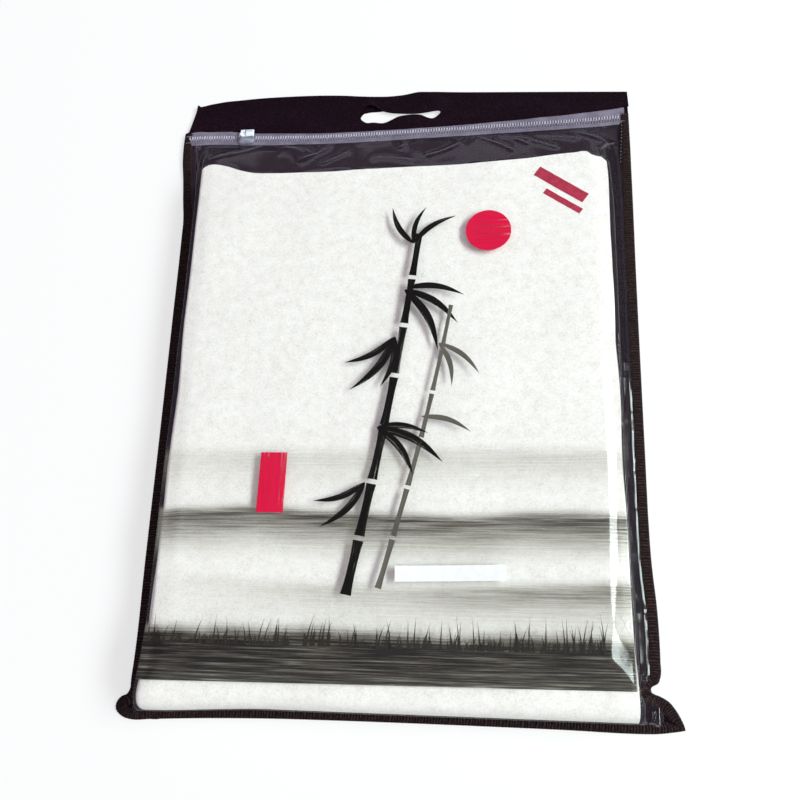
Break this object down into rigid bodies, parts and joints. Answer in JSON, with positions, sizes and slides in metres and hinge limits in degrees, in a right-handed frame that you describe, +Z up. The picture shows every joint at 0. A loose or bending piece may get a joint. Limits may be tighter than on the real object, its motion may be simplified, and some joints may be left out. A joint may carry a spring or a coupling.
{
  "type": "calligraphy felt mat in a zip bag",
  "caption": "Thick off-white felt writing mat, folded into a pile inside a flat zip bag with a clear film front, black cloth back and a header with a carrying slot.",
  "frame": {"origin": "on the floor under the middle of the bag's outline", "axes": "+X to the right across the bag, +Y along the bag towards the zip and the carrying slot, +Z up out of the clear film front"},
  "size_m": [0.462, 0.622, 0.0424],
  "materials": {
    "felt": "off-white needled felt, matt and slightly fuzzy",
    "black_cloth": "black non-woven cloth with a fine bonded speckle",
    "clear_film": "clear soft PVC film, glossy and creased, with a printed picture",
    "edging": "black overlock thread in slanting ribs",
    "zip_tape": "cloudy lavender-grey PVC tape",
    "zip_teeth": "cloudy white moulded plastic",
    "slider": "cloudy white moulded plastic",
    "pull_tab": "white moulded plastic, satin",
    "label": "plain white sticker paper"
  },
  "bodies": {
    "bag": {"felt_mat": "felt", "back_panel": "black_cloth", "front_film": "clear_film", "left_edging": "edging", "right_edging": "edging", "bottom_edging": "edging", "zip_upper_tape": "zip_tape", "zip_lower_tape": "zip_tape", "zip_upper_teeth": "zip_teeth", "zip_lower_teeth": "zip_teeth", "size_label": "label"},
    "header": {"handle_header": "black_cloth"},
    "slider": {"slider_body": "slider"},
    "tab": {"pull_tab": "pull_tab"}
  },
  "joints": [
    {"name": "slider_travel", "type": "slide", "parent": "bag", "child": "slider", "axis": [1, 0, 0], "range_m": [-0.045, 0.375]},
    {"name": "tab_swing", "type": "hinge", "parent": "slider", "child": "tab", "pos_m": [-0.1715, 0.26285, 0.0087], "axis": [0, -1, 0], "range_deg": [0, 170]},
    {"name": "header_lift", "type": "hinge", "parent": "bag", "child": "header", "pos_m": [0, 0.27135, 0.0038], "axis": [1, 0, 0], "range_deg": [0, 90]}
  ]
}
